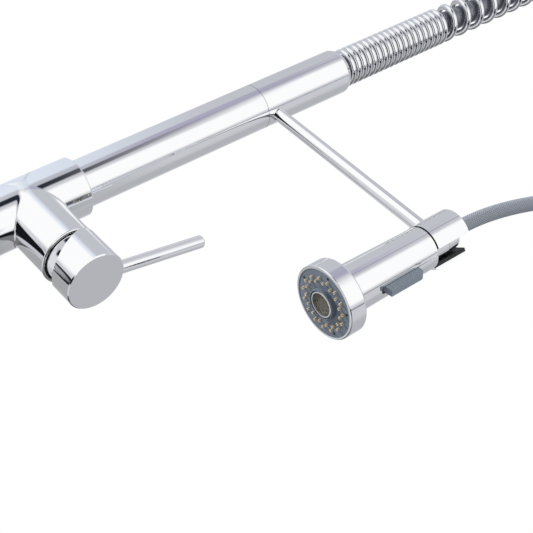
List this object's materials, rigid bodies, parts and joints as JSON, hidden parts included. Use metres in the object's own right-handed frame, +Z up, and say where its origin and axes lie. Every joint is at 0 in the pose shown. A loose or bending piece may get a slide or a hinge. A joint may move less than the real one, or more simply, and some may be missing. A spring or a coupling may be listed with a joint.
{
  "type": "pre rinse faucet",
  "caption": "Tall chrome kitchen faucet with a spring arch, a swivelling holder arm with a clip, a pull-down spray head and a side mixer lever.",
  "frame": {"origin": "on the deck surface, at the centre of the deck hole, on the column's axis", "axes": "+Z up along the column, +X along the holder arm and the mixer branch, as the faucet stands at rest"},
  "size_m": [0.2664, 0.058, 0.8015],
  "materials": {
    "chrome": "polished",
    "spring_steel": "polished",
    "brass": "machined",
    "steel": "satin",
    "black_rubber": "matt",
    "beige_rubber": "matt",
    "grey_plastic": "satin",
    "white_plastic": "satin",
    "ceramic": "lapped",
    "guide_plastic": "satin",
    "hose": "braided"
  },
  "bodies": {
    "column": {"base_ring": "chrome", "deck_gasket": "black_rubber", "mounting_shank": "steel", "clamp_seal": "black_rubber", "clamp_washer": "steel", "mounting_nut": "steel", "main_body": "chrome", "outlet_nipple": "brass", "nipple_seals": "black_rubber", "riser_seal": "black_rubber", "seat_seals": "black_rubber", "fixed_disc": "ceramic", "cartridge_housing": "white_plastic", "cartridge_nut": "brass", "dome_ring": "chrome", "riser_tube": "chrome", "swivel_spigot": "brass", "slip_washer": "white_plastic", "circlip": "steel"},
    "mixer": {"stem_guide": "white_plastic", "pivot_pin": "steel"},
    "handle": {"handle_cap": "chrome", "lever_rod": "chrome", "grub_screw": "steel", "cartridge_stem": "steel"},
    "valve_disc": {"disc_carrier": "white_plastic", "moving_disc": "ceramic"},
    "swivel": {"upper_sleeve": "chrome", "arm_ring": "brass", "lower_bush": "white_plastic", "upper_bush": "white_plastic", "spring_seat": "spring_steel", "arm_rod": "chrome", "clip_screw": "steel", "holder_clip": "chrome", "clip_liner": "black_rubber", "spring": "spring_steel", "guide_tube": "guide_plastic", "inner_hose": "hose", "hose_coupling": "brass", "spring_cap": "chrome", "spray_hose": "hose"},
    "hose_end": {"hose_nut": "chrome", "hose_washer": "black_rubber"},
    "head": {"head_neck": "chrome", "inlet_filter": "steel", "check_valve": "white_plastic", "water_core": "white_plastic", "head_shell": "chrome", "face_ring": "chrome", "face_seal": "black_rubber", "spray_diffuser": "white_plastic", "nozzle_pad": "beige_rubber", "face_plate": "grey_plastic", "stream_collar": "grey_plastic", "aerator_housing": "steel", "aerator_mesh": "steel", "button_pin": "steel"},
    "button": {"spray_button": "grey_plastic"},
    "diverter": {"diverter_piston": "brass"}
  },
  "joints": [
    {"name": "mix_turn", "type": "hinge", "parent": "column", "child": "mixer", "pos_m": [0.055, 0, 0.077], "axis": [1, 0, 0], "range_deg": [-33, 57]},
    {"name": "lever_tilt", "type": "hinge", "parent": "mixer", "child": "handle", "pos_m": [0.055, 0, 0.077], "axis": [0, 0.9816, -0.1908], "range_deg": [0, 24]},
    {"name": "disc_shift", "type": "slide", "parent": "mixer", "child": "valve_disc", "axis": [0, 0.1908, 0.9816], "range_m": [0, 0.0045]},
    {"name": "holder_swivel", "type": "hinge", "parent": "column", "child": "swivel", "pos_m": [0, 0, 0.287], "axis": [0, 0, 1], "continuous": true},
    {"name": "head_drop", "type": "slide", "parent": "swivel", "child": "hose_end", "axis": [0, 0, -1], "range_m": [0, 0.06], "deforming": ["spray_hose"]},
    {"name": "head_spin", "type": "hinge", "parent": "hose_end", "child": "head", "pos_m": [0.193, 0, 0.29], "axis": [0, 0, 1], "continuous": true},
    {"name": "button_rock", "type": "hinge", "parent": "head", "child": "button", "pos_m": [0.20444, -0.00191, 0.2454], "axis": [0.165, 0.9863, 0], "range_deg": [-4, 4]},
    {"name": "diverter_shift", "type": "slide", "parent": "head", "child": "diverter", "axis": [-0.9863, 0.165, 0], "range_m": [-0.00069, 0.00069]}
  ],
  "couplings": [
    {"joint": "disc_shift", "follows": "lever_tilt", "m_per_rad": 0.0098},
    {"joint": "button_rock", "follows": "diverter_shift", "rad_per_m": 100}
  ]
}
